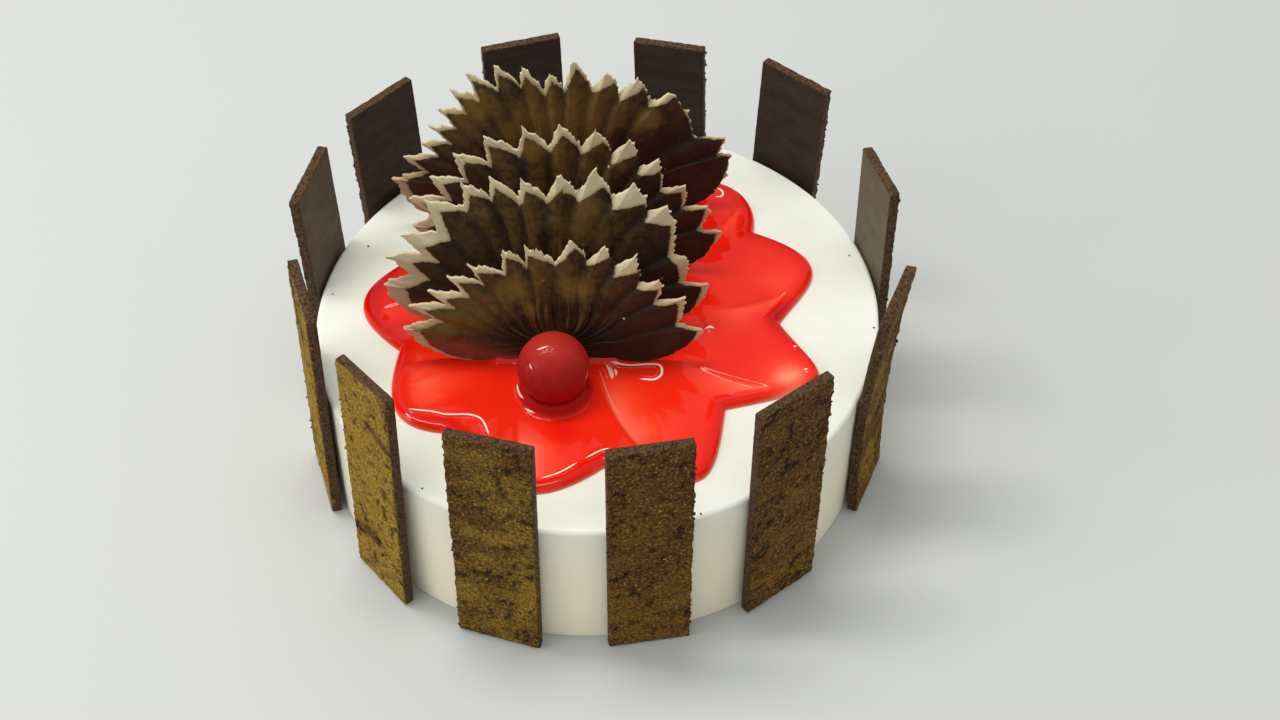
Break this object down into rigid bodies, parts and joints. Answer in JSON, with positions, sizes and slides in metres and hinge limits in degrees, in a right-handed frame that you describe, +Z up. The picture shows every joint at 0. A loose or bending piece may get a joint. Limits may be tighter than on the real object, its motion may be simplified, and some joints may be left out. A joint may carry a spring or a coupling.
{
  "type": "decorated cake",
  "caption": "Round cream cake with a glossy red gel topping, a red ball, a row of ruffled chocolate fans and a fence of upright chocolate panels.",
  "frame": {"origin": "middle of the cake's base, on the surface that the cake and its panels stand on", "axes": "+Z up; the front of the cake, where the red ball is, faces -Y; +X is to the right seen from the front"},
  "size_m": [0.221, 0.2179, 0.1276],
  "materials": {
    "cream": "smooth whipped cream coat, off-white with a faint green cast, soft sheen",
    "red_gel": "thick clear red fruit gel, wet gloss, paler where it is thin",
    "red_candy": "crimson candy shell, satin",
    "fan_chocolate": "dark chocolate with olive gold dust and a pale cream chocolate edge",
    "panel_chocolate": "dark chocolate, rough and gold dusted outside, smooth and darker inside"
  },
  "bodies": {
    "root": {"cake": "cream", "gel": "red_gel", "ball": "red_candy", "fan_front": "fan_chocolate", "fan_second": "fan_chocolate", "fan_third": "fan_chocolate", "fan_back": "fan_chocolate", "panel_01": "panel_chocolate", "panel_02": "panel_chocolate", "panel_03": "panel_chocolate", "panel_04": "panel_chocolate", "panel_05": "panel_chocolate", "panel_06": "panel_chocolate", "panel_07": "panel_chocolate", "panel_08": "panel_chocolate", "panel_09": "panel_chocolate", "panel_10": "panel_chocolate", "panel_11": "panel_chocolate", "panel_12": "panel_chocolate"}
  },
  "joints": []
}
